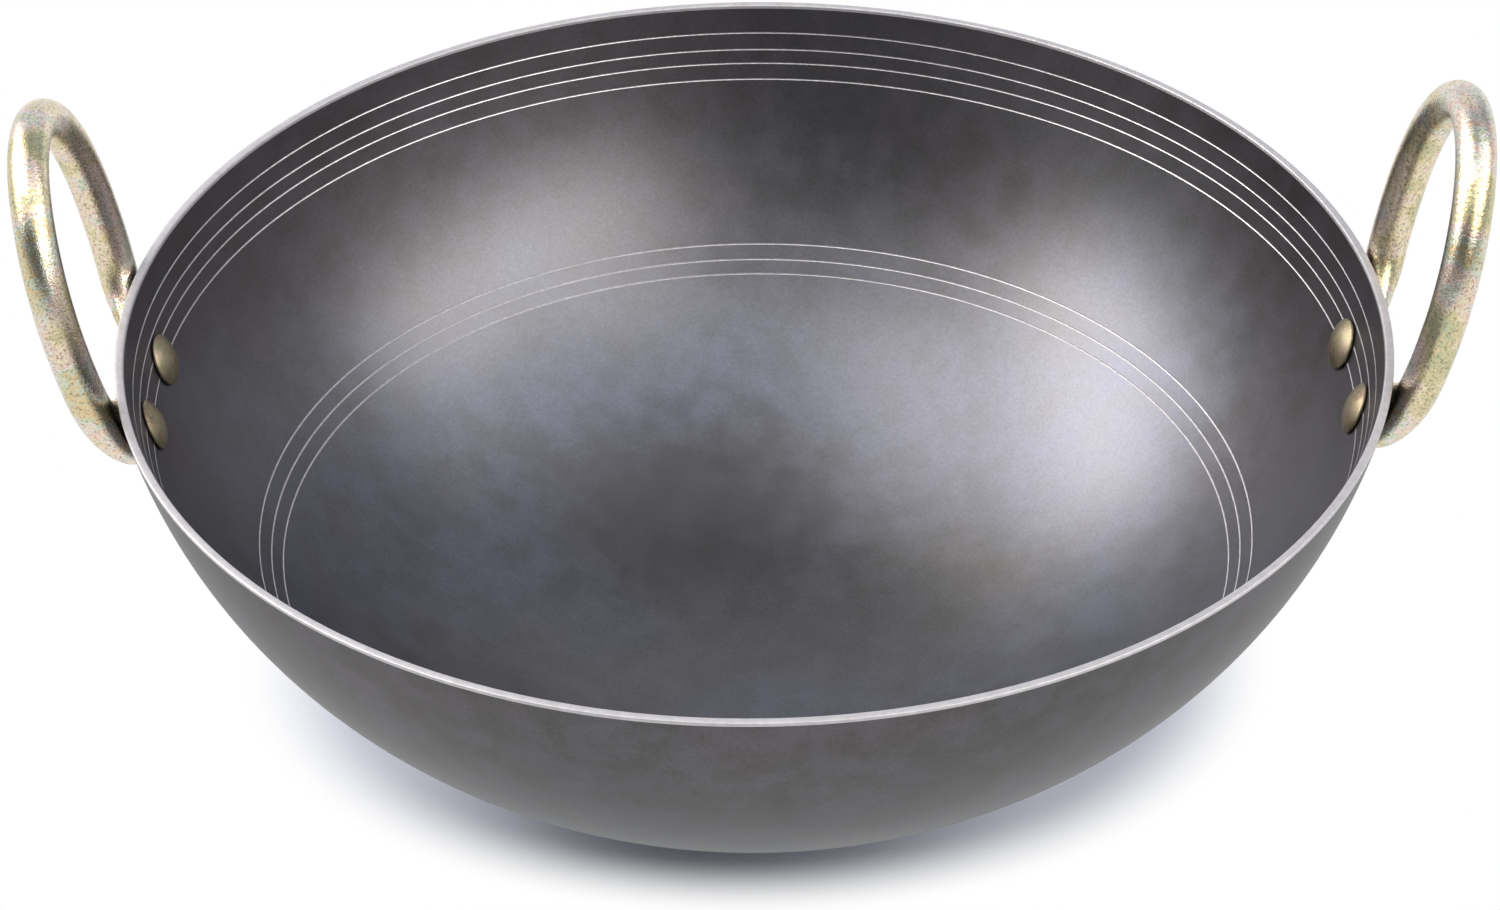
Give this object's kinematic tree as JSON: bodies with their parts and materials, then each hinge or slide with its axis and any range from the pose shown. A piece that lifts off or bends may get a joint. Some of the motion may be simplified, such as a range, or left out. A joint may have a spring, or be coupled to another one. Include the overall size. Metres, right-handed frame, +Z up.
{
  "type": "iron kadai",
  "caption": "Round-bottomed kadai of dark iron sheet with a bright ground rim, scribed rings inside and yellow-plated loop handles riveted to its sides.",
  "frame": {"origin": "middle of the flat that the bowl stands on", "axes": "+Z up out of the open mouth, the handles on +X and -X"},
  "size_m": [0.3394, 0.2998, 0.1644],
  "materials": {
    "blackened_iron": "blued and oiled iron sheet with a soft sheen, ground bright on the rim",
    "yellow_zinc": "forged steel with a rough grain under iridescent yellow zinc plating",
    "rivet_zinc": "dull olive zinc plating on domed rivets"
  },
  "bodies": {
    "root": {"bowl": "blackened_iron", "right_handle": "yellow_zinc", "left_handle": "yellow_zinc", "right_front_rivet": "rivet_zinc", "right_back_rivet": "rivet_zinc", "left_front_rivet": "rivet_zinc", "left_back_rivet": "rivet_zinc"}
  },
  "joints": []
}
